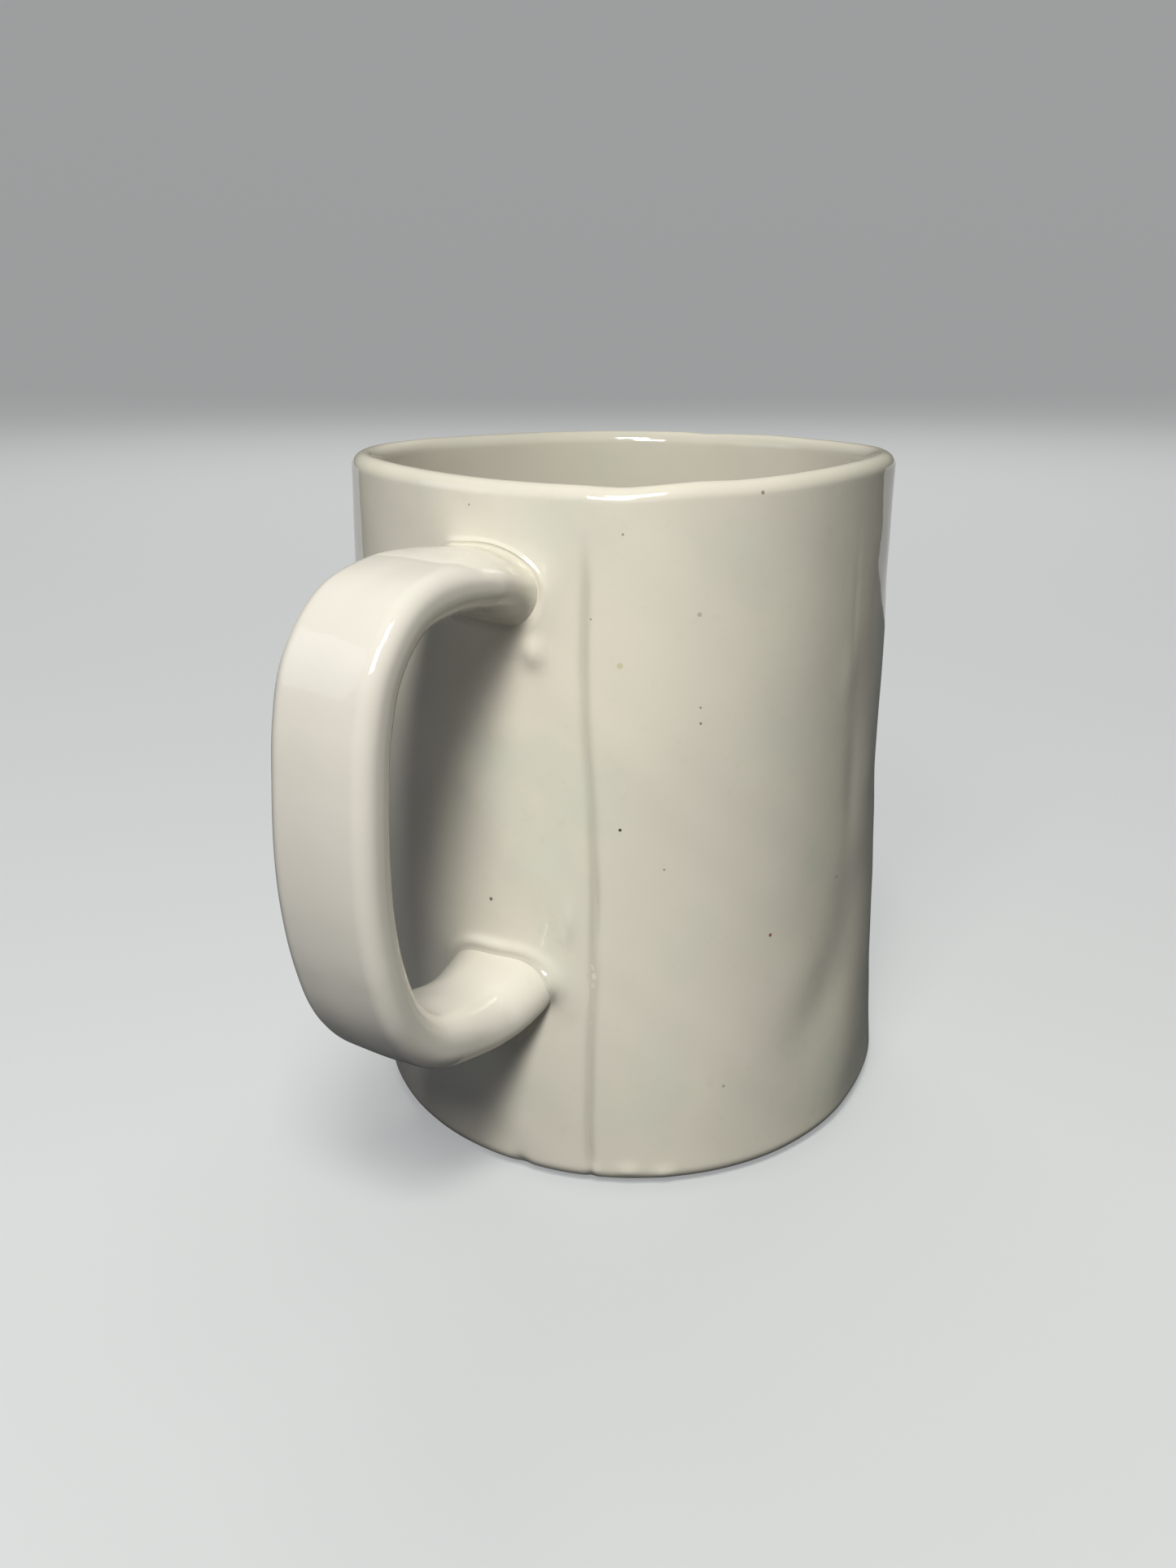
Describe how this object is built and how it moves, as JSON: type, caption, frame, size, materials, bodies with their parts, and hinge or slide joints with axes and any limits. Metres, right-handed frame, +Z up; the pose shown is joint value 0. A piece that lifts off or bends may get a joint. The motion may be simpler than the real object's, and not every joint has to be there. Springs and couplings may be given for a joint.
{
  "type": "ceramic mug",
  "caption": "Hand-built style glazed stoneware mug: a slab-walled cup on a bare foot ring with a flat strap handle.",
  "frame": {"origin": "on the table plane, under the middle of the mug's overall box", "axes": "+Z up, towards the lip; -X towards the handle; Y across the cup"},
  "size_m": [0.1408, 0.0986, 0.12],
  "materials": {
    "glaze": "glossy cream glaze",
    "bare_clay": "unglazed, matt"
  },
  "bodies": {
    "root": {"wall": "glaze", "base": "glaze", "foot_ring": "bare_clay", "handle": "glaze", "upper_joint": "glaze", "lower_joint": "glaze"}
  },
  "joints": []
}
